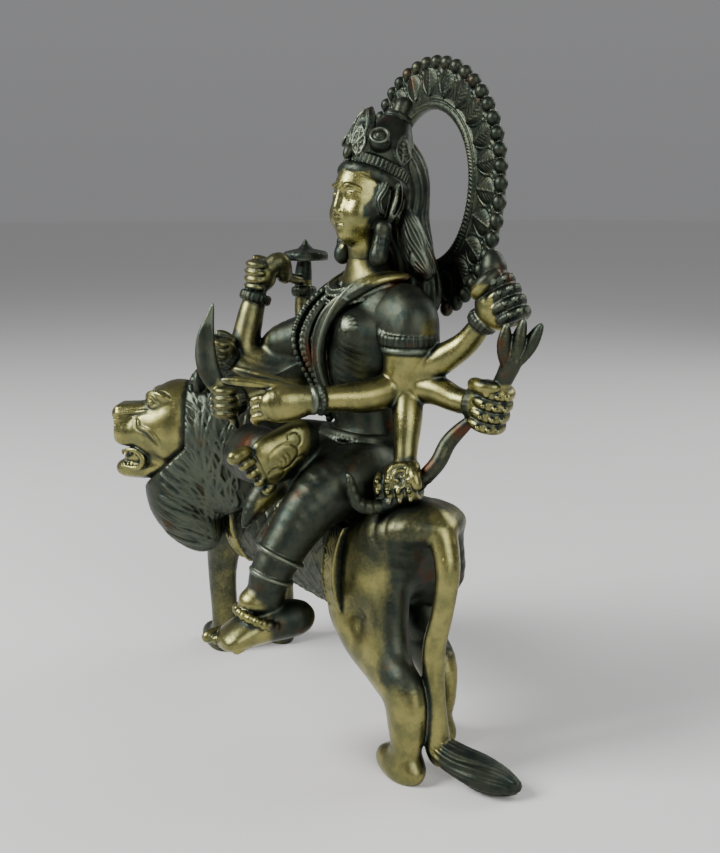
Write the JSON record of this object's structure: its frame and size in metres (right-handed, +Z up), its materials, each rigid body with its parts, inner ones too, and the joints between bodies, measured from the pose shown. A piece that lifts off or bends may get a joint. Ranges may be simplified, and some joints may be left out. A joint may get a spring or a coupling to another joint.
{
  "type": "eight-armed goddess on a lion, small cast brass figure",
  "caption": "Small cast brass figure of a many-armed goddess seated side-saddle on a walking lion, a leafed ring behind her head.",
  "frame": {"origin": "centre of the bounding box at the level the paws stand on", "axes": "+Z up, the goddess faces -Y, the lion walks towards -X"},
  "size_m": [0.1626, 0.0894, 0.2177],
  "materials": {
    "brass": "cast brass, dark green-brown patina in the carving, rubbed golden on face, hands, feet and lion"
  },
  "bodies": {
    "root": {"durga_on_lion": "brass"}
  },
  "joints": []
}
